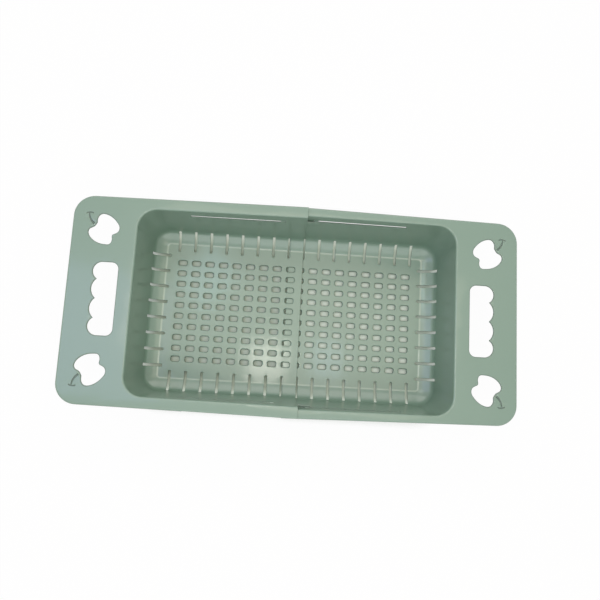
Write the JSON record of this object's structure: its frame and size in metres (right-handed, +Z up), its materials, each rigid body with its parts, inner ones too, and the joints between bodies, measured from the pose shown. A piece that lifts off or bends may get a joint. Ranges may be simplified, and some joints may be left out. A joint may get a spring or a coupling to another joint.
{
  "type": "expandable dish drainer",
  "caption": "Two moulded plastic trays that telescope into one long drain basket, with a rim that hangs on a sink and a scalloped finger hole in each handle plate.",
  "frame": {"origin": "on the ground under the middle of the drainer, with both trays pulled out to their stops", "axes": "+X along the drainer from the inner tray to the outer tray, +Y across it, +Z up out of the basket"},
  "size_m": [0.48, 0.2264, 0.0806],
  "materials": {
    "outer_tray_plastic": "sage green moulded polypropylene, satin gloss",
    "inner_tray_plastic": "sage green moulded polypropylene, satin gloss"
  },
  "bodies": {
    "outer_tray": {"outer_tray": "outer_tray_plastic"},
    "inner_tray": {"inner_tray": "inner_tray_plastic"}
  },
  "joints": [
    {"name": "tray_slide", "type": "slide", "parent": "outer_tray", "child": "inner_tray", "axis": [1, 0, 0], "range_m": [0, 0.097]}
  ]
}
